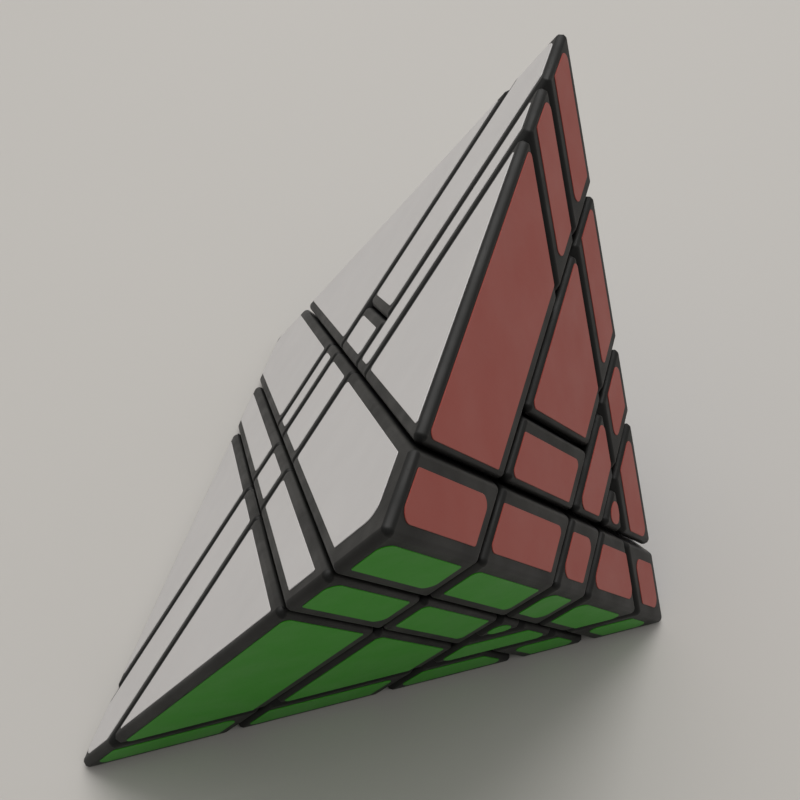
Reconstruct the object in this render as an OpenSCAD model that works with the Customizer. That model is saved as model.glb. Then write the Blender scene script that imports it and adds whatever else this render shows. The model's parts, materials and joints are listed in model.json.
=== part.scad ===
// A square pyramid twisty puzzle.
// Inside it works as a three-layer cube: a core, six centres, twelve edges and eight corners.
// The outside is half of a regular octahedron, cut by two planes either side of the core on
// every axis. A second pair of planes, twice as far out, splits most edges and all corners.
// The pieces are drawn round the core: +X east, +Y north and +Z to the apex, with the square
// base below. lay() then turns the whole pyramid onto its south-west side, as it rests.

/* [Pyramid] */
// Half the thickness of the middle layers; the half diagonal of the base is eight of these
layer_half = 9.5; // [9.3:0.05:9.7]
// Radius along every edge of the blocks, and on the tips of the pyramid
edge_round = 1; // [0.7:0.1:1.4]
// Gap between neighbouring pieces
gap = 0.4; // [0.3:0.05:0.5]

/* [Mechanism] */
// Radius of the sphere that parts the outer blocks from the feet under them
shell_r = 20; // [19.8:0.1:20.2]
// Radius of the hollow in which the core sits
hollow_r = 14.5; // [14.2:0.1:14.8]
// Distance from the core at which the feet are cut
foot_cut = 6; // [5.9:0.05:6.2]
// How far the neck over each foot stays inside the sides of its block
neck_inset = 0.3; // [0.2:0.1:0.8]
// Radius of the round ball of the core
hub_r = 7; // [6:0.5:8]
// Radius of each of the core's six bosses
boss_r = 4; // [3:0.5:5]
// Length of each boss, from the core's centre
boss_len = 11; // [10.5:0.1:11.2]
// Radius of the round leg of a centre, which turns on its screw
leg_r = 5; // [4.8:0.1:5.5]
// Thickness of the floor under each spring
seat_t = 2.4; // [2:0.1:2.6]
// Radius of the well that holds the spring and the screw head
well_r = 4; // [3.9:0.05:4.1]

/* [Screws and springs] */
// Radius of the screw shank
screw_r = 1.5; // [1.2:0.1:1.6]
// Running clearance between a screw and its centre
screw_play = 0.08; // [0.05:0.01:0.1]
// Radius of the screw head
head_r = 3; // [2.6:0.1:3.2]
// Height of the screw head
head_t = 2; // [1.6:0.1:2.1]
// Outer radius of the washer
washer_r = 3.6; // [3.3:0.1:3.7]
// Thickness of the washer
washer_t = 0.6; // [0.4:0.1:0.8]
// Radius of the spring, to the middle of its wire
coil_r = 3; // [2.6:0.1:3.1]
// Radius of the spring wire
wire_r = 0.35; // [0.25:0.05:0.4]
// Turns in each spring
coil_turns = 4; // [3:1:4]
// Rise of the spring for each turn
coil_pitch = 0.9; // [0.85:0.01:0.92]

/* [Tee tracks] */
// Radius of the arc on which an outer block slides over its inner block
track_r = 16; // [15.9:0.05:16.1]
// Half the width of the head of the tee
tee_head = 1.6; // [1.4:0.1:1.7]
// Half the width of the neck of the tee
tee_neck = 0.8; // [0.6:0.1:0.9]
// Height of the head of the tee
tee_head_t = 1.8; // [1.5:0.1:2]
// Depth of the whole track
tee_depth = 3.6; // [3.3:0.1:3.8]
// Play between a tee and its track
tee_play = 0.12; // [0.1:0.01:0.15]
// Radius of the four pegs under each centre cap
peg_r = 1; // [0.8:0.1:1.1]
// Length of the pegs
peg_len = 3; // [2:0.5:3.5]

/* [Hidden] */
// Facets round a full circle, and round the ball that rounds the blocks
$fn = 96;
BALL_FN = 16;
// Longer than the pyramid, for blocks that run off to infinity
FAR = 120;
// How far joined solids run into each other
LAP = 1;

half_diagonal = 8 * layer_half;
core_height = 3 * layer_half;
split = 2 * layer_half;
c = gap / 2;

// Reach of the faceted ball along the three axes, just short of its radius
ball_reach = edge_round * cos(180 / BALL_FN);
// Inset of the ball from the sharp apex and from the sharp base corners
apex_inset = edge_round * sqrt(3);
base_inset = apex_inset + ball_reach;

// The pyramid lies on a side face, so its axis is tipped past the horizontal
tip_angle = acos(-1 / sqrt(3));
rest_height = half_diagonal / sqrt(3);
x_max = 2 * (half_diagonal - apex_inset) / sqrt(6) + edge_round;
x_min = (2 * edge_round - (half_diagonal - base_inset)) / sqrt(6) - edge_round;
x_mid = (x_max + x_min) / 2;

// Stack on each screw, outwards from the core
leg_start = boss_len + c;
seat = leg_start + seat_t;
coil_gap = 0.05;
washer_start = seat + coil_turns * coil_pitch + 2 * wire_r + 2 * coil_gap;
head_start = washer_start + washer_t;
screw_depth = 5;
pocket_room = 0.8;
pocket_end = head_start + head_t + pocket_room;
cross_w = 0.9;
cross_l = 3.6;
cross_t = 1.2;
peg_at = 4.6;
peg_play = 0.05;

// Rings along each turn of a spring, and sides of its wire
WIRE_RINGS = 12;
WIRE_SIDES = 6;

// Axes, as indices into a point
X = 0;
Y = 1;
Z = 2;
NONE = -1;

PLASTIC = "#2e2d2b";

// Each centre: its place, and the turn that takes +Z to its direction
CENTRES = [
    ["east",  [ 1,  0,  0], [  0,  90, 0]],
    ["west",  [-1,  0,  0], [  0, -90, 0]],
    ["north", [ 0,  1,  0], [-90,   0, 0]],
    ["south", [ 0, -1,  0], [ 90,   0, 0]],
    ["apex",  [ 0,  0,  1], [  0,   0, 0]],
    ["base",  [ 0,  0, -1], [180,   0, 0]]
];

// Each edge: its place, and the axis across which it is split in two
EDGES = [
    ["edge_northeast",  [ 1,  1,  0], X],
    ["edge_northwest",  [-1,  1,  0], X],
    ["edge_southeast",  [ 1, -1,  0], NONE],
    ["edge_southwest",  [-1, -1,  0], NONE],
    ["edge_apex_east",  [ 1,  0,  1], Z],
    ["edge_apex_west",  [-1,  0,  1], X],
    ["edge_apex_north", [ 0,  1,  1], Z],
    ["edge_apex_south", [ 0, -1,  1], NONE],
    ["edge_base_east",  [ 1,  0, -1], X],
    ["edge_base_west",  [-1,  0, -1], X],
    ["edge_base_north", [ 0,  1, -1], NONE],
    ["edge_base_south", [ 0, -1, -1], Y]
];

// Each corner: its place, and the axis across which it is split in two
CORNERS = [
    ["corner_apex_northeast", [ 1,  1,  1], Z],
    ["corner_apex_northwest", [-1,  1,  1], Y],
    ["corner_apex_southeast", [ 1, -1,  1], Y],
    ["corner_apex_southwest", [-1, -1,  1], Z],
    ["corner_base_northeast", [ 1,  1, -1], Y],
    ["corner_base_northwest", [-1,  1, -1], X],
    ["corner_base_southeast", [ 1, -1, -1], Z],
    ["corner_base_southwest", [-1, -1, -1], X]
];

BLOCKS = concat(EDGES, CORNERS);
SPLIT_BLOCKS = [for (b = BLOCKS) if (b[2] != NONE) b];

// ---- Shared shapes ----

// Stands the pyramid on its south-west side, with the middle of its box over the origin
module lay() {
    translate([-x_mid, 0, rest_height])
        rotate([0, tip_angle, 0])
            rotate([0, 0, 135])
                translate([0, 0, core_height])
                    children();
}

// The outside of the pyramid, drawn in on every face by the reach of the rounding ball
module inset_pyramid() {
    reach = half_diagonal - base_inset;
    translate([0, 0, ball_reach - core_height])
        cylinder(r1 = reach, r2 = 0, h = reach, $fn = 4);
}

// The lowest and highest coordinate of a piece on one axis. A sign of 0 is the middle layer,
// half to either side of the core, and a sign of 1 or -1 is an outer layer, from near to far
function low(sign, half, near, far) = sign == 0 ? -half : sign > 0 ? near : -far;
function high(sign, half, near, far) = sign == 0 ? half : sign > 0 ? far : -near;

// The space of one place in the puzzle; near and far have a value for each axis
module space(place, half, near, far) {
    lowest = [for (i = [X:Z]) low(place[i], half, near[i], far[i])];
    highest = [for (i = [X:Z]) high(place[i], half, near[i], far[i])];
    translate(lowest)
        cube(highest - lowest);
}

// The space of one place between an inner cut and an outer cut, less the gap
module block(place, inner, outer) {
    near = outer + c;
    space(place, inner - c, [near, near, near], [FAR, FAR, FAR]);
}

// One place's share of the pyramid with every edge rounded, on one side of its split
module rounded_block(place, axis = NONE, outer = false) {
    margin = c + ball_reach;
    near = [for (i = [X:Z]) (outer && i == axis ? split : layer_half) + margin];
    far = [for (i = [X:Z]) !outer && i == axis ? split - margin : FAR];
    minkowski() {
        intersection() {
            inset_pyramid();
            space(place, layer_half - margin, near, far);
        }
        sphere(r = edge_round, $fn = BALL_FN);
    }
}

// A rounded block, cut away inside the sphere over the feet
module shell_block(place, axis = NONE) {
    difference() {
        rounded_block(place, axis);
        sphere(r = shell_r + c);
    }
}

// The foot that the neighbouring pieces hold down, with the neck that joins it to its block
module foot(place) {
    difference() {
        union() {
            intersection() {
                block(place, foot_cut, foot_cut);
                sphere(r = shell_r - c);
            }
            intersection() {
                block(place, foot_cut, layer_half + neck_inset);
                sphere(r = shell_r + LAP);
            }
        }
        sphere(r = hollow_r + c);
    }
}

// Turns +Z to an axis, towards the side that the sign says
module along(axis, sign) {
    turn = axis == X ? [0, 90 * sign, 0] : axis == Y ? [-90 * sign, 0, 0] : [90 - 90 * sign, 0, 0];
    rotate(turn)
        children();
}

// Ring with a tee section, let into the face at the split; play widens it into the track
module tee_ring(play) {
    floor_z = split - tee_depth;
    rotate_extrude() {
        translate([track_r - tee_head - play, floor_z - play])
            square([2 * (tee_head + play), tee_head_t + 2 * play]);
        translate([track_r - tee_neck - play, floor_z + LAP])
            square([2 * (tee_neck + play), tee_depth]);
    }
}

// ---- Corners and edges ----

// The piece of a corner or an edge next to the core: its foot, its neck and its inner block
module inner_piece(place, axis) {
    color(PLASTIC)
        difference() {
            union() {
                shell_block(place, axis);
                foot(place);
            }
            if (axis != NONE)
                along(axis, place[axis])
                    tee_ring(tee_play);
        }
}

// The piece of a corner or an edge beyond the split, with the tee that slides in the track and
// stops short of the rounded edges
module outer_piece(place, axis) {
    color(PLASTIC)
        union() {
            rounded_block(place, axis, true);
            intersection() {
                block(place, layer_half - edge_round, layer_half + edge_round);
                along(axis, place[axis])
                    tee_ring(0);
            }
        }
}

// ---- Centres ----

module pegs(radius, start, length) {
    for (x = [-peg_at, peg_at], y = [-peg_at, peg_at])
        translate([x, y, start])
            cylinder(r = radius, h = length);
}

// A centre: its block as far as the split, and the leg that turns on the screw
module centre(place, turn) {
    color(PLASTIC)
        difference() {
            union() {
                shell_block(place);
                foot(place);
                rotate(turn)
                    translate([0, 0, leg_start])
                        cylinder(r = leg_r, h = hollow_r + LAP - leg_start);
            }
            rotate(turn) {
                translate([0, 0, split])
                    translate([-FAR, -FAR, 0])
                        cube([2 * FAR, 2 * FAR, FAR]);
                cylinder(r = screw_r + screw_play, h = split);
                translate([0, 0, seat])
                    cylinder(r = well_r, h = split);
                pegs(peg_r + peg_play, split - peg_len - peg_play, peg_len + LAP);
            }
        }
}

// The cap that closes a centre over its screw
module cap(place, turn) {
    color(PLASTIC)
        union() {
            difference() {
                intersection() {
                    rounded_block(place);
                    rotate(turn)
                        translate([-FAR, -FAR, split])
                            cube([2 * FAR, 2 * FAR, FAR]);
                }
                rotate(turn)
                    cylinder(r = well_r, h = pocket_end);
            }
            rotate(turn)
                pegs(peg_r, split - peg_len, peg_len + LAP);
        }
}

// ---- Core, screws, washers and springs ----

module core() {
    color("#e8e6df")
        difference() {
            union() {
                sphere(r = hub_r);
                for (n = CENTRES)
                    rotate(n[2])
                        cylinder(r = boss_r, h = boss_len);
            }
            for (n = CENTRES)
                rotate(n[2])
                    translate([0, 0, screw_depth])
                        cylinder(r = screw_r, h = boss_len);
        }
}

module screw() {
    difference() {
        union() {
            translate([0, 0, screw_depth])
                cylinder(r = screw_r, h = head_start + LAP - screw_depth);
            translate([0, 0, head_start])
                cylinder(r = head_r, h = head_t);
        }
        for (a = [0, 90])
            rotate([0, 0, a])
                translate([-cross_l / 2, -cross_w / 2, head_start + head_t - cross_t])
                    cube([cross_l, cross_w, head_t]);
    }
}

module screws() {
    color("#b9bbbe")
        for (n = CENTRES)
            rotate(n[2])
                screw();
}

module washers() {
    color("#9a9c9f")
        for (n = CENTRES)
            rotate(n[2])
                translate([0, 0, washer_start])
                    difference() {
                        cylinder(r = washer_r, h = washer_t);
                        translate([0, 0, -LAP])
                            cylinder(r = screw_r + screw_play, h = washer_t + 2 * LAP);
                    }
}

// A point on the skin of the wire: ring i along the helix, side j round the wire
function wire_point(i, j) =
    let (
        turn = 360 * i / WIRE_RINGS,
        side = 360 * j / WIRE_SIDES,
        r = coil_r + wire_r * cos(side),
        z = coil_pitch * i / WIRE_RINGS + wire_r * sin(side)
    )
    [r * cos(turn), r * sin(turn), z];

module spring() {
    last = coil_turns * WIRE_RINGS;
    points = [for (i = [0:last], j = [0:WIRE_SIDES - 1]) wire_point(i, j)];
    skin = [
        for (i = [0:last - 1], j = [0:WIRE_SIDES - 1])
            let (k = (j + 1) % WIRE_SIDES, a = i * WIRE_SIDES, b = a + WIRE_SIDES)
                [a + j, a + k, b + k, b + j]
    ];
    start_cap = [for (j = [WIRE_SIDES - 1:-1:0]) j];
    end_cap = [for (j = [0:WIRE_SIDES - 1]) last * WIRE_SIDES + j];
    polyhedron(points, concat(skin, [start_cap], [end_cap]));
}

module springs() {
    color("#c9cbcd")
        for (n = CENTRES)
            rotate(n[2])
                translate([0, 0, seat + wire_r + coil_gap])
                    spring();
}

// ---- The pieces ----

lay() core();
lay() screws();
lay() springs();
lay() washers();

for (n = CENTRES) {
    lay() centre(n[1], n[2]);
    lay() cap(n[1], n[2]);
}

for (b = BLOCKS)
    lay() inner_piece(b[1], b[2]);

for (b = SPLIT_BLOCKS)
    lay() outer_piece(b[1], b[2]);
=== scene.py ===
import itertools
import json
import math

import bmesh
import bpy
import numpy as np
from mathutils import Matrix, Vector


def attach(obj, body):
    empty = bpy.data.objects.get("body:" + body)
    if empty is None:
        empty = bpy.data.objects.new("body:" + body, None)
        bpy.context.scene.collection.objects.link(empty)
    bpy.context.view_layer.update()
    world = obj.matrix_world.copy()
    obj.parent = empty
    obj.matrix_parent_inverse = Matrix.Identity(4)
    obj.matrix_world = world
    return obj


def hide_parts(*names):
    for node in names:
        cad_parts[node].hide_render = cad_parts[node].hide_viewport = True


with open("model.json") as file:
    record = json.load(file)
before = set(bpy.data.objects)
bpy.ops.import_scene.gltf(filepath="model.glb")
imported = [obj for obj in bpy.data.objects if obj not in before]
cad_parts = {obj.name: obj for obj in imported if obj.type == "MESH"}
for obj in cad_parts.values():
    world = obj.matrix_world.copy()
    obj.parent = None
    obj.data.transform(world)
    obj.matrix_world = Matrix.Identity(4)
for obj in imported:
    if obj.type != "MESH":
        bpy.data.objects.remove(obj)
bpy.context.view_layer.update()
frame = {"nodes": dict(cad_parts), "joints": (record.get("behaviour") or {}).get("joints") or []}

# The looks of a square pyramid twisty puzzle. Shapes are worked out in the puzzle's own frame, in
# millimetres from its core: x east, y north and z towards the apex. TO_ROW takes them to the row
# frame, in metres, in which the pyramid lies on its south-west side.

# ---- Sizes, as in the CAD model, in millimetres ----

# From the core to the inner cuts, and to the cuts that split the edges and corners
UNIT = 9.5
SPLIT = 2 * UNIT
HALF_DIAGONAL = 8 * UNIT
CORE_HEIGHT = 3 * UNIT
# Half the gap between two blocks
CLEAR = 0.2
# The radius of every edge and corner of a block
EDGE_ROUND = 1.0
# The ball that parts the outer blocks from the feet under them
SHELL_R = 20.0
# How far a tee reaches into the block under it; pegs reach a little less far
TEE_DEPTH = 3.6
# Half the width of the room that a cap's pegs take
PEG_ZONE = 6.0
MM = 0.001

JOINTS = {j["name"]: j for j in frame["joints"]}
CORE = Vector(JOINTS["turn_apex"]["pos_m"])
AXES = [Vector(JOINTS["turn_" + name]["axis"]) for name in ("east", "north", "apex")]
TO_ROW = Matrix.Translation(CORE) @ Matrix([v * MM for v in AXES]).transposed().to_4x4()
FROM_ROW = TO_ROW.inverted()

X, Y, Z = 0, 1, 2

CENTRES = {
    "east": (1, 0, 0),
    "west": (-1, 0, 0),
    "north": (0, 1, 0),
    "south": (0, -1, 0),
    "apex": (0, 0, 1),
    "base": (0, 0, -1),
}

# Each edge and corner: its place, and the axis across which it is split in two
BLOCKS = {
    "edge_northeast": ((1, 1, 0), X),
    "edge_northwest": ((-1, 1, 0), X),
    "edge_southeast": ((1, -1, 0), None),
    "edge_southwest": ((-1, -1, 0), None),
    "edge_apex_east": ((1, 0, 1), Z),
    "edge_apex_west": ((-1, 0, 1), X),
    "edge_apex_north": ((0, 1, 1), Z),
    "edge_apex_south": ((0, -1, 1), None),
    "edge_base_east": ((1, 0, -1), X),
    "edge_base_west": ((-1, 0, -1), X),
    "edge_base_north": ((0, 1, -1), None),
    "edge_base_south": ((0, -1, -1), Y),
    "corner_apex_northeast": ((1, 1, 1), Z),
    "corner_apex_northwest": ((-1, 1, 1), Y),
    "corner_apex_southeast": ((1, -1, 1), Y),
    "corner_apex_southwest": ((-1, -1, 1), Z),
    "corner_base_northeast": ((1, 1, -1), Y),
    "corner_base_northwest": ((-1, 1, -1), X),
    "corner_base_southeast": ((1, -1, -1), Z),
    "corner_base_southwest": ((-1, -1, -1), X),
}

# The outside of the pyramid: each face's outward normal, with its distance from the core
SIDE_DISTANCE = (HALF_DIAGONAL - CORE_HEIGHT) / math.sqrt(3)
FACES = {
    "white": (Vector((0, 0, -1)), CORE_HEIGHT),
    "red": (Vector((1, 1, 1)).normalized(), SIDE_DISTANCE),
    "green": (Vector((-1, 1, 1)).normalized(), SIDE_DISTANCE),
    "blue": (Vector((1, -1, 1)).normalized(), SIDE_DISTANCE),
    "orange": (Vector((-1, -1, 1)).normalized(), SIDE_DISTANCE),
}


def unit(axis, sign=1):
    v = Vector((0, 0, 0))
    v[axis] = sign
    return v


def cuts(place, axis=None, outer=False, clear=CLEAR):
    """The cut planes round one block, as (outward normal, distance from the core)."""
    planes = []
    for i, sign in enumerate(place):
        if sign:
            planes.append((unit(i, -sign), -(UNIT + clear)))
        else:
            planes += [(unit(i), UNIT - clear), (unit(i, -1), UNIT - clear)]
    if axis is not None:
        sign = place[axis]
        if outer:
            planes.append((unit(axis, -sign), -(SPLIT + clear)))
        else:
            planes.append((unit(axis, sign), SPLIT - clear))
    return planes


# ---- Materials ----

# How scratches and turning marks lie to the axes, in radians
GRAIN_TURN = (0.4, 0.9, 0.3)


class Shader:
    """A material under construction, with short calls for the nodes that it needs."""

    def __init__(self, name):
        self.material = bpy.data.materials.new(name)
        self.material.use_nodes = True
        self.tree = self.material.node_tree
        self.body = self.tree.nodes["Principled BSDF"]
        self.place = self.node("ShaderNodeTexCoord").outputs["Object"]

    def node(self, kind, **settings):
        made = self.tree.nodes.new(kind)
        for key, value in settings.items():
            setattr(made, key, value)
        return made

    def join(self, start, end):
        self.tree.links.new(start, end)

    def noise(self, scale, detail, stretch=None):
        """Noise with a size set by scale, in waves a metre; stretch scales its three axes."""
        made = self.node("ShaderNodeTexNoise")
        made.inputs["Scale"].default_value = scale
        made.inputs["Detail"].default_value = detail
        source = self.place
        if stretch:
            mapping = self.node("ShaderNodeMapping")
            mapping.inputs["Scale"].default_value = stretch
            mapping.inputs["Rotation"].default_value = GRAIN_TURN
            self.join(self.place, mapping.inputs["Vector"])
            source = mapping.outputs["Vector"]
        self.join(source, made.inputs["Vector"])
        return made.outputs["Fac"]

    def ramp(self, source, low, high, out_low, out_high):
        made = self.node("ShaderNodeMapRange")
        for name, value in (("From Min", low), ("From Max", high)):
            made.inputs[name].default_value = value
        for name, value in (("To Min", out_low), ("To Max", out_high)):
            made.inputs[name].default_value = value
        self.join(source, made.inputs["Value"])
        return made.outputs["Result"]

    def mix(self, factor, dark, light):
        made = self.node("ShaderNodeMix", data_type="RGBA")
        made.inputs["A"].default_value = (*dark, 1)
        made.inputs["B"].default_value = (*light, 1)
        self.join(factor, made.inputs["Factor"])
        return made.outputs["Result"]

    def sum(self, first, second):
        made = self.node("ShaderNodeMath", operation="ADD")
        self.join(first, made.inputs[0])
        self.join(second, made.inputs[1])
        return made.outputs["Value"]

    def bump(self, height, strength, distance):
        made = self.node("ShaderNodeBump")
        made.inputs["Strength"].default_value = strength
        made.inputs["Distance"].default_value = distance
        self.join(height, made.inputs["Height"])
        self.join(made.outputs["Normal"], self.body.inputs["Normal"])


def shade(colour, factor):
    return tuple(c * factor for c in colour)


def moulded_plastic(name, colour, roughness, sheen):
    """Satin moulded plastic: a fine spark-eroded grain, with handling marks in its gloss."""
    s = Shader(name)
    tone = s.mix(s.noise(90, 3), shade(colour, 0.85), shade(colour, 1.2))
    s.join(tone, s.body.inputs["Base Color"])
    smears = s.ramp(s.noise(140, 4), 0.35, 0.7, roughness - 0.06, roughness + 0.08)
    hairlines = s.ramp(s.noise(900, 2, (1, 1, 14)), 0.66, 0.74, 0.0, 0.12)
    s.join(s.sum(smears, hairlines), s.body.inputs["Roughness"])
    s.body.inputs["Specular IOR Level"].default_value = sheen
    s.bump(s.sum(s.noise(7000, 2), s.noise(350, 1)), 0.16, 0.00004)
    return s.material


def vinyl(name, colour):
    """Sticker vinyl: an even colour under a slightly rippled, hand-rubbed gloss."""
    s = Shader(name)
    tone = s.mix(s.noise(60, 3), shade(colour, 0.95), shade(colour, 1.04))
    s.join(tone, s.body.inputs["Base Color"])
    rubbed = s.ramp(s.noise(110, 4), 0.3, 0.7, 0.34, 0.46)
    scratches = s.ramp(s.noise(700, 3, (1, 18, 1)), 0.64, 0.72, 0.0, 0.14)
    s.join(s.sum(rubbed, scratches), s.body.inputs["Roughness"])
    s.body.inputs["Specular IOR Level"].default_value = 0.3
    s.bump(s.sum(s.noise(1600, 2), s.noise(250, 1)), 0.1, 0.00003)
    return s.material


def turned_steel(name, colour):
    """Zinc-plated steel with fine turning marks and dull patches."""
    s = Shader(name)
    s.join(s.mix(s.noise(500, 3), shade(colour, 0.8), colour), s.body.inputs["Base Color"])
    s.join(s.ramp(s.noise(800, 3), 0.3, 0.7, 0.22, 0.42), s.body.inputs["Roughness"])
    s.body.inputs["Metallic"].default_value = 1.0
    s.bump(s.noise(4000, 2, (1, 1, 8)), 0.15, 0.00003)
    return s.material


PLASTIC = moulded_plastic("black_plastic", (0.006, 0.006, 0.0055), 0.50, 0.30)
CORE_PLASTIC = moulded_plastic("core_plastic", (0.68, 0.66, 0.60), 0.45, 0.5)
STEEL = turned_steel("steel", (0.62, 0.63, 0.65))
VINYL = {
    "white": vinyl("white_vinyl", (0.597, 0.581, 0.575)),
    "red": vinyl("red_vinyl", (0.307, 0.060, 0.046)),
    "green": vinyl("green_vinyl", (0.034, 0.30, 0.006)),
    "blue": vinyl("blue_vinyl", (0.02, 0.09, 0.42)),
    "orange": vinyl("orange_vinyl", (0.75, 0.20, 0.03)),
}

# ---- Rounded blocks ----

# Steps from one face to the next across a rounded edge
ROUND_STEPS = 5
# How far a shell's cut faces lie inside the CAD block's
SKIN = 0.03
# A sticker's thickness; the plastic under it is lowered by as much
STICKER_T = 0.12
# Vertices closer than this are one
WELD = 0.0005
# Room to spare round the feet, tees and pegs that keep their CAD shapes
LEEWAY = 0.5
# How far the room of a tee or of pegs reaches past its opening
LAP = 0.1
# Rounding errors to allow for when planes and points are compared
TINY = 1e-6
TOUCHING = 1e-5
# Faces that meet at less than the first are joined; edges steeper than the second stay sharp
FLAT_ANGLE = math.radians(0.3)
SHARP_ANGLE = math.radians(35)


def corner_points(planes):
    """Each corner of the solid that the planes bound, with the normals that meet there."""
    normals = np.array([n for n, _ in planes], float)
    distances = np.array([d for _, d in planes], float)
    found = {}
    for trio in itertools.combinations(range(len(planes)), 3):
        chosen = normals[list(trio)]
        if abs(np.linalg.det(chosen)) < TINY:
            continue
        point = np.linalg.solve(chosen, distances[list(trio)])
        if (normals @ point > distances + TINY).any():
            continue
        touching = [i for i, n in enumerate(normals) if abs(n @ point - distances[i]) < TOUCHING]
        found[tuple(np.round(point, 4))] = (point, normals[touching])
    return list(found.values())


def patch(normals):
    """Directions spread over the part of a ball between the normals that meet at a corner."""
    middle = normals.sum(axis=0)
    side = np.cross(middle, normals[0])
    ahead = np.cross(side, middle)
    ring = sorted(normals, key=lambda n: math.atan2(n @ side, n @ ahead))
    for a, b in zip(ring[1:-1], ring[2:]):
        for i in range(ROUND_STEPS + 1):
            for j in range(ROUND_STEPS + 1 - i):
                v = ring[0] * i + a * j + b * (ROUND_STEPS - i - j)
                yield v / np.linalg.norm(v)


def rounded_block(planes, radius):
    """The solid inside the planes, with every edge and corner rounded to one radius."""
    inset = [(n, d - radius) for n, d in planes]
    points = set()
    for point, normals in corner_points(inset):
        points |= {tuple(np.round(point + radius * v, 6)) for v in patch(normals)}
    return hull(sorted(points))


def hull(points):
    bm = bmesh.new()
    for p in points:
        bm.verts.new(p)
    made = bmesh.ops.convex_hull(bm, input=bm.verts)
    loose = [g for g in made["geom_interior"] if isinstance(g, bmesh.types.BMVert)]
    bmesh.ops.delete(bm, geom=loose, context="VERTS")
    flatten(bm)
    return bm


def flatten(bm):
    """Joins the triangles of each flat face into one."""
    bmesh.ops.dissolve_limit(bm, angle_limit=FLAT_ANGLE, verts=bm.verts, edges=bm.edges)


def scratch_object(bm):
    mesh = bpy.data.meshes.new("scratch")
    bm.to_mesh(mesh)
    bm.free()
    made = bpy.data.objects.new("scratch", mesh)
    bpy.context.scene.collection.objects.link(made)
    return made


def combined(first, second, operation):
    """The union or the intersection of two scratch objects, which are used up."""
    tool = first.modifiers.new("combine", "BOOLEAN")
    tool.operation = operation
    tool.solver = "EXACT"
    tool.object = second
    settled = first.evaluated_get(bpy.context.evaluated_depsgraph_get())
    mesh = bpy.data.meshes.new_from_object(settled)
    for used in (first, second):
        bpy.data.objects.remove(used)
    made = bpy.data.objects.new("scratch", mesh)
    bpy.context.scene.collection.objects.link(made)
    return made


def cad_copy(node):
    """A CAD node's own mesh, in the puzzle's frame, with its split corners joined."""
    bm = bmesh.new()
    bm.from_mesh(frame["nodes"][node].data)
    bm.transform(FROM_ROW)
    bmesh.ops.remove_doubles(bm, verts=bm.verts, dist=WELD)
    return scratch_object(bm)


def ball(radius):
    bm = bmesh.new()
    bmesh.ops.create_icosphere(bm, subdivisions=4, radius=radius)
    return scratch_object(bm)


def box(low, high):
    bm = bmesh.new()
    bmesh.ops.create_cube(bm, size=1)
    low, high = Vector(low), Vector(high)
    bm.transform(Matrix.Translation((low + high) / 2) @ Matrix.Diagonal(high - low).to_4x4())
    return scratch_object(bm)


def tee_zone(place, axis):
    """The room under an outer block that holds its tee, short of the block's rounded edges."""
    low, high = [], []
    for i, sign in enumerate(place):
        if i == axis:
            ends = (SPLIT - TEE_DEPTH - LEEWAY, SPLIT + CLEAR + LAP)
        elif sign:
            ends = (UNIT + CLEAR + EDGE_ROUND, HALF_DIAGONAL)
        else:
            ends = (-(UNIT - CLEAR - EDGE_ROUND), UNIT - CLEAR - EDGE_ROUND)
        if sign < 0:
            ends = (-ends[1], -ends[0])
        low.append(ends[0])
        high.append(ends[1])
    return box(low, high)


def peg_zone(place):
    """The room under a centre's cap that holds its pegs."""
    low, high = [], []
    for sign in place:
        ends = (SPLIT - TEE_DEPTH - LEEWAY, SPLIT + LAP) if sign else (-PEG_ZONE, PEG_ZONE)
        if sign < 0:
            ends = (-ends[1], -ends[0])
        low.append(ends[0])
        high.append(ends[1])
    return box(low, high)


def finish_piece(made, name, node, body):
    """Gives a shell its place, its shading, its plastic and its body."""
    bm = bmesh.new()
    bm.from_mesh(made.data)
    bmesh.ops.remove_doubles(bm, verts=bm.verts, dist=WELD)
    flatten(bm)
    bm.transform(TO_ROW)
    bm.to_mesh(made.data)
    bm.free()
    made.name = made.data.name = name
    made.data.materials.clear()
    made.data.materials.append(PLASTIC)
    made.data.shade_smooth()
    made.data.set_sharp_from_angle(angle=SHARP_ANGLE)
    weighted = made.modifiers.new("shading", "WEIGHTED_NORMAL")
    weighted.keep_sharp = True
    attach(made, body)
    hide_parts(node)


def shell(node, body, planes, room):
    """A CAD block with its cut edges rounded; what lies in the room keeps its CAD shape."""
    planes = [(n, d - SKIN) for n, d in planes] + [(n, d - STICKER_T) for n, d in FACES.values()]
    outside = scratch_object(rounded_block(planes, EDGE_ROUND))
    outside = combined(outside, room, "UNION")
    outside = combined(outside, cad_copy(node), "INTERSECT")
    finish_piece(outside, "shell_" + node, node, body)


def build_shells():
    for name, place in CENTRES.items():
        body = "centre_" + name
        shell("centre_" + name, body, cuts(place), ball(SHELL_R + LEEWAY))
        shell("cap_" + name, body, cuts(place), peg_zone(place))
    for name, (place, axis) in BLOCKS.items():
        shell(name, name, cuts(place, axis), ball(SHELL_R + LEEWAY))
        if axis is not None:
            shell(name + "_outer", name, cuts(place, axis, outer=True), tee_zone(place, axis))


# ---- Stickers ----

# From a sticker to a cut, to an edge between two sides, and to an edge of the square base
CUT_MARGIN = 2.1
EDGE_MARGIN = 2.0
BASE_MARGIN = 2.4
# White stickers that stop further from the base edges than the rest
WIDE_MARGINS = {"edge_base_north": 5.4, "corner_base_northwest": 3.8, "corner_base_northeast": 2.8}
# The small bevel round a sticker's top
STICKER_LIP = 0.04
# Steps in the arc at a sticker's corner
ARC_STEPS = 6
# An outline with a side shorter than this carries no sticker
SMALLEST_SIDE = 1.0
# A sticker with no side this long has rounder corners
SMALL_STICKER = 22.0
# Corners of an outline closer than this are one
SAME_CORNER = 0.01
# The most of a side that the arc at one of its ends may take
ARC_SHARE = 0.45
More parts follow.
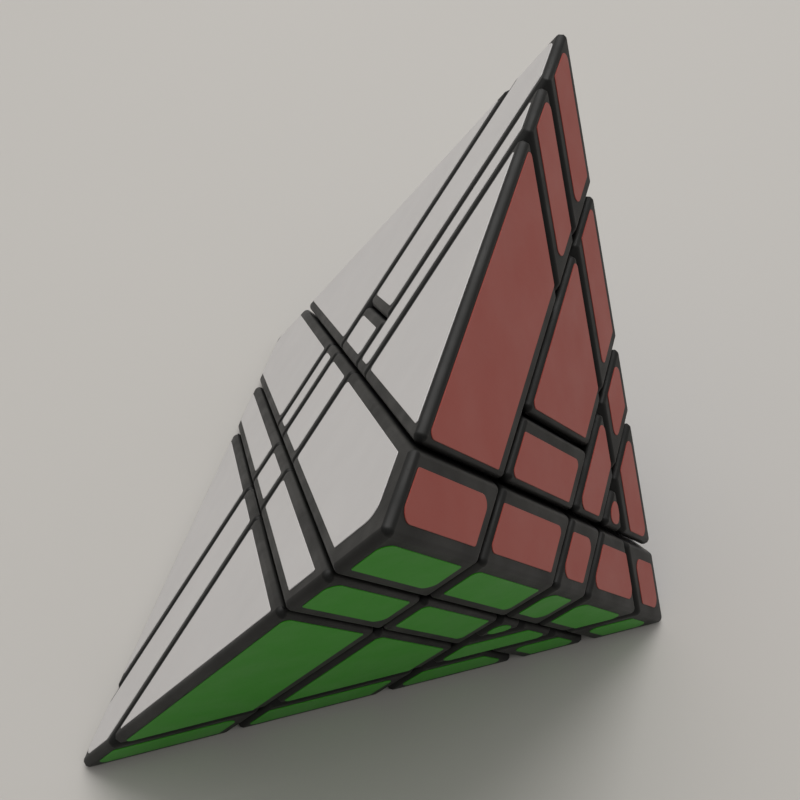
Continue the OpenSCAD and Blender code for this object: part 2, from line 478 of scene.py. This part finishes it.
# White stickers have round corners only past this distance from the middle of the base
WHITE_ROUND_REACH = 6 * UNIT


def face_axes(normal):
    """Two directions in a face, the first of them level with the square base."""
    level = Vector((-normal.y, normal.x, 0)) if abs(normal.z) < 0.99 else Vector((1, 0, 0))
    level.normalize()
    return level, normal.cross(level)


def clipped(outline, inside):
    """The part of a convex outline where inside(point) isn't negative."""
    kept = []
    for a, b in zip(outline, outline[1:] + outline[:1]):
        da, db = inside(a), inside(b)
        if da >= 0:
            kept.append(a)
        if (da < 0) != (db < 0):
            kept.append(a + (b - a) * (da / (da - db)))
    return kept


def sticker_outline(colour, planes, base_margin):
    """The corners of one block's sticker on one face, in that face's own two directions."""
    normal, distance = FACES[colour]
    across, along = face_axes(normal)
    middle = normal * distance
    big = 3 * HALF_DIAGONAL
    outline = [Vector(p) for p in ((-big, -big), (big, -big), (big, big), (-big, big))]
    limits = [(n, d, CUT_MARGIN) for n, d in planes]
    for other, (n, d) in FACES.items():
        if other != colour:
            limits.append((n, d, base_margin if "white" in (colour, other) else EDGE_MARGIN))
    for n, d, margin in limits:
        slope = Vector((n.dot(across), n.dot(along)))
        if slope.length < TINY:
            if n.dot(middle) > d:
                return []
            continue
        room = d - n.dot(middle) - margin * slope.length
        outline = clipped(outline, lambda p: room - slope.dot(p))
    return tidy_outline(outline)


def tidy_outline(outline):
    """Drops repeated corners, and an outline too small to carry a sticker."""
    kept = [p for i, p in enumerate(outline) if (p - outline[i - 1]).length > SAME_CORNER]
    if len(kept) < 3:
        return []
    sides = [(p - kept[i - 1]).length for i, p in enumerate(kept)]
    return kept if min(sides) > SMALLEST_SIDE else []


def corner_radius(angle, colour, small, reach):
    """The radius of a sticker's corner; reach is its distance from the middle of the face."""
    if colour == "white":
        if angle < 60:
            return 0.3
        if angle < 100:
            return 2.4 if reach > WHITE_ROUND_REACH else 0.9
        return 0.6
    if angle < 90:
        return 1.5 if small else 0.9
    return 0.7 if small else 0.5


def rounded_outline(outline, colour, shrink):
    """An outline with an arc at each corner, drawn in by shrink."""
    points = []
    count = len(outline)
    small = max((p - outline[i - 1]).length for i, p in enumerate(outline)) < SMALL_STICKER
    for i, corner in enumerate(outline):
        before = (outline[i - 1] - corner).normalized()
        after = (outline[(i + 1) % count] - corner).normalized()
        half = before.angle(after) / 2
        room = min((outline[i - 1] - corner).length, (outline[(i + 1) % count] - corner).length)
        radius = corner_radius(math.degrees(2 * half), colour, small, corner.length)
        radius = min(radius, ARC_SHARE * room * math.tan(half))
        centre = corner + (before + after).normalized() * radius / math.sin(half)
        start = math.atan2(*reversed(before * radius / math.tan(half) + corner - centre))
        end = math.atan2(*reversed(after * radius / math.tan(half) + corner - centre))
        sweep = (end - start + math.pi) % (2 * math.pi) - math.pi
        for step in range(ARC_STEPS + 1):
            a = start + sweep * step / ARC_STEPS
            points.append(centre + (radius - shrink) * Vector((math.cos(a), math.sin(a))))
    return points


def sticker(name, body, colour, outline):
    """One vinyl sticker: a thin tile with a small lip, whose top is the nominal face."""
    normal, distance = FACES[colour]
    across, along = face_axes(normal)
    levels = [(0, -STICKER_T - SKIN), (0, -STICKER_LIP), (STICKER_LIP, 0)]
    bm = bmesh.new()
    rings = []
    for shrink, height in levels:
        ring = rounded_outline(outline, colour, shrink)
        place = normal * (distance + height)
        rings.append([bm.verts.new(place + across * p.x + along * p.y) for p in ring])
    for low, high in zip(rings, rings[1:]):
        for i in range(len(low)):
            bm.faces.new((low[i - 1], low[i], high[i], high[i - 1]))
    bm.faces.new(rings[-1])
    bm.faces.new(reversed(rings[0]))
    bmesh.ops.recalc_face_normals(bm, faces=bm.faces)
    bm.transform(TO_ROW)
    mesh = bpy.data.meshes.new(name)
    bm.to_mesh(mesh)
    bm.free()
    mesh.materials.append(VINYL[colour])
    made = bpy.data.objects.new(name, mesh)
    bpy.context.scene.collection.objects.link(made)
    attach(made, body)


def build_stickers():
    owners = [("cap_" + n, "centre_" + n, cuts(p, clear=0)) for n, p in CENTRES.items()]
    for name, (place, axis) in BLOCKS.items():
        owners.append((name, name, cuts(place, axis, clear=0)))
        if axis is not None:
            owners.append((name + "_outer", name, cuts(place, axis, outer=True, clear=0)))
    for owner, body, planes in owners:
        for colour in FACES:
            margin = WIDE_MARGINS.get(owner, BASE_MARGIN) if colour == "white" else BASE_MARGIN
            outline = sticker_outline(colour, planes, margin)
            if outline:
                sticker(f"sticker_{colour}_{owner}", body, colour, outline)


# ---- Camera, light and floor ----

# Places in the row frame, in metres; the lens and the sensor's width in millimetres
CAMERA_AT = Vector((0.05292, -0.14916, 0.22417))
CAMERA_AIM = Vector((-0.00383, 0.00945, 0.03778))
CAMERA_ROLL = math.radians(-5.27)
CAMERA_LENS = 65.07
CAMERA_SENSOR = 36


def build_camera():
    data = bpy.data.cameras.new("camera")
    data.lens = CAMERA_LENS
    data.sensor_width = CAMERA_SENSOR
    data.clip_start = 0.01
    data.clip_end = 20
    camera = bpy.data.objects.new("camera", data)
    bpy.context.scene.collection.objects.link(camera)
    camera.location = CAMERA_AT
    turn = (CAMERA_AIM - CAMERA_AT).to_track_quat("-Z", "Y")
    camera.rotation_mode = "QUATERNION"
    camera.rotation_quaternion = turn @ Matrix.Rotation(CAMERA_ROLL, 4, "Z").to_quaternion()
    bpy.context.scene.camera = camera


def area_light(name, place, aim, size, power, colour):
    data = bpy.data.lights.new(name, "AREA")
    data.shape = "DISK"
    data.size = size
    data.energy = power
    data.color = colour
    light = bpy.data.objects.new(name, data)
    bpy.context.scene.collection.objects.link(light)
    light.location = place
    light.rotation_mode = "QUATERNION"
    light.rotation_quaternion = (Vector(aim) - Vector(place)).to_track_quat("-Z", "Y")
    return light


# The room is brighter overhead and behind the puzzle than on the camera's side. It is dimmest where
# the cosine of the angle to the bright side is DIM_COSINE or less.
BRIGHT_SIDE = (-0.15, 0.62, 0.77)
DIM_COSINE = -0.6
DIM_LEVEL = 0.13
BRIGHT_LEVEL = 0.50
# In metres
FLOOR_HALF_WIDTH = 8


def build_world():
    world = bpy.data.worlds.new("studio")
    world.use_nodes = True
    tree = world.node_tree
    background = tree.nodes["Background"]
    background.inputs["Color"].default_value = (1.0, 0.99, 0.975, 1)
    direction = tree.nodes.new("ShaderNodeTexCoord").outputs["Generated"]
    towards = tree.nodes.new("ShaderNodeVectorMath")
    towards.operation = "DOT_PRODUCT"
    towards.inputs[1].default_value = BRIGHT_SIDE
    tree.links.new(direction, towards.inputs[0])
    level = tree.nodes.new("ShaderNodeMapRange")
    level.inputs["From Min"].default_value = DIM_COSINE
    level.inputs["From Max"].default_value = 1.0
    level.inputs["To Min"].default_value = DIM_LEVEL
    level.inputs["To Max"].default_value = BRIGHT_LEVEL
    tree.links.new(towards.outputs["Value"], level.inputs["Value"])
    tree.links.new(level.outputs["Result"], background.inputs["Strength"])
    bpy.context.scene.world = world
    bpy.context.scene.view_settings.view_transform = "Standard"


def build_lights():
    area_light("key", (-0.16, 0.60, 1.10), (0, 0, 0.03), 1.3, 10.2, (1.0, 0.985, 0.965))
    fill = area_light("fill", (0.60, -0.35, 1.20), (0, -0.05, 0), 1.5, 3.9, (1.0, 0.99, 0.97))
    fill.visible_glossy = False


def build_floor():
    bm = bmesh.new()
    bmesh.ops.create_grid(bm, x_segments=1, y_segments=1, size=FLOOR_HALF_WIDTH)
    mesh = bpy.data.meshes.new("floor")
    bm.to_mesh(mesh)
    bm.free()
    s = Shader("floor")
    tone = s.mix(s.noise(6, 3), (0.475, 0.46, 0.437), (0.50, 0.484, 0.46))
    s.join(tone, s.body.inputs["Base Color"])
    s.body.inputs["Roughness"].default_value = 0.6
    s.bump(s.noise(900, 3), 0.05, 0.00005)
    mesh.materials.append(s.material)
    floor = bpy.data.objects.new("floor", mesh)
    bpy.context.scene.collection.objects.link(floor)


def dress_cad_nodes():
    """Gives the hidden works, which keep their CAD shapes, their own materials."""
    looks = {"core": CORE_PLASTIC, "screws": STEEL, "springs": STEEL, "washers": STEEL}
    for node, material in looks.items():
        mesh = frame["nodes"][node].data
        mesh.materials.clear()
        mesh.materials.append(material)


build_camera()
build_world()
build_lights()
build_floor()
dress_cad_nodes()
build_shells()
build_stickers()
